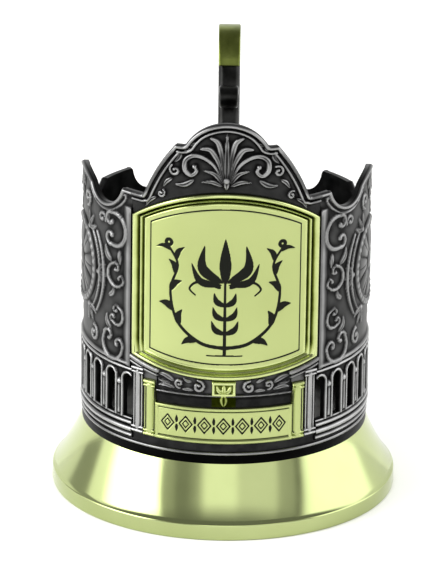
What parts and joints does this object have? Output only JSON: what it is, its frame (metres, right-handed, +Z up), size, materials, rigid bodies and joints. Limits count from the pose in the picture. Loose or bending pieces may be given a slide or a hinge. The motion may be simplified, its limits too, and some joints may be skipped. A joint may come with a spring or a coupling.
{
  "type": "tea glass holder",
  "caption": "Pierced and figured metal holder for a straight tea glass, with a flared brass foot, a blank brass front plate, a tall front crest and an ear handle behind.",
  "frame": {"origin": "centre of the foot's lower rim, on the surface that the holder stands on", "axes": "+Z up along the axis of the glass; -Y out of the front, where the brass plate sits; +Y towards the handle; +X to the right of someone who faces the plate"},
  "size_m": [0.085, 0.1208, 0.1045],
  "materials": {
    "blackened_nickel": "nickel silver, blackened in its recesses and rubbed bright on its high places",
    "dark_nickel": "nickel silver blackened nearly all over, satin",
    "plain_nickel": "spun nickel silver sheet, satin",
    "bright_nickel": "nickel silver rubbed bright",
    "polished_brass": "pale brass, polished"
  },
  "bodies": {
    "root": {"sleeve": "blackened_nickel", "seam_strip": "blackened_nickel", "base_ring": "dark_nickel", "floor_disc": "plain_nickel", "floor_rivets": "plain_nickel", "foot": "polished_brass", "front_plate": "polished_brass", "plate_frame": "polished_brass", "name_plate": "polished_brass", "plate_clasp": "polished_brass", "lower_spray": "blackened_nickel", "left_console": "bright_nickel", "right_console": "bright_nickel", "crest_palmette": "blackened_nickel", "left_side_relief": "blackened_nickel", "right_side_relief": "blackened_nickel", "left_medallion": "blackened_nickel", "right_medallion": "blackened_nickel", "left_gallery": "blackened_nickel", "right_gallery": "blackened_nickel", "handle": "dark_nickel", "thumb_rest": "polished_brass", "handle_rivets": "bright_nickel"}
  },
  "joints": []
}
